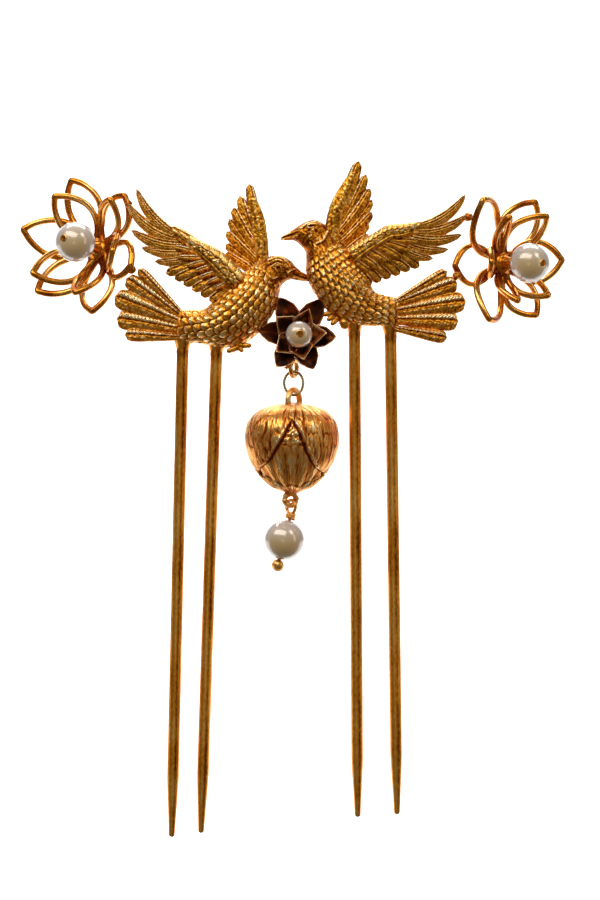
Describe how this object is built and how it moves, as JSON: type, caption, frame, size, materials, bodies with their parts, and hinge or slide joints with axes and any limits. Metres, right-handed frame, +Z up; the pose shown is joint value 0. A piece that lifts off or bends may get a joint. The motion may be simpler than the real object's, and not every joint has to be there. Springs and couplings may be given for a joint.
{
  "type": "bun pin",
  "caption": "Wide hairpin for a bun: birds in flight, open wire lotuses with pearls, a small pearl flower, long prongs, and a lotus bud drop on a ring.",
  "frame": {"origin": "on the common plane of the prongs, between their tops, where the hair holds the pin", "axes": "+X across the pin towards the larger lotus, -Y to the side that shows, +Z up, away from the tips of the prongs"},
  "size_m": [0.0831, 0.0135, 0.1015],
  "materials": {
    "cast_gold": "antiqued yellow gold plate, bright on the raised parts and dark in the recesses",
    "lotus_gold": "polished orange gold plate on round wire",
    "prong_gold": "drawn wire, plated, worn bright towards the tips",
    "bud_gold": "brushed gold plate with fine upright grooves and a rose tint",
    "pale_gold": "polished pale gold wire",
    "pearl": "creamy white pearl with a soft lustre"
  },
  "bodies": {
    "pin": {"frame": "cast_gold", "pearl_left": "pearl", "pearl_right": "pearl", "pearl_center": "pearl"},
    "ring": {"jump_ring": "pale_gold"},
    "drop": {"bud": "bud_gold", "head_pin": "bud_gold", "drop_pearl": "pearl"}
  },
  "joints": [
    {"name": "ring_swing", "type": "hinge", "parent": "pin", "child": "ring", "pos_m": [0.001, 0.001, -0.0047], "axis": [0, 1, 0], "range_deg": [-7, 14]},
    {"name": "drop_swing", "type": "hinge", "parent": "ring", "child": "drop", "pos_m": [0.001, 0.001, -0.00749], "axis": [1, 0, 0], "range_deg": [-60, 60]}
  ]
}
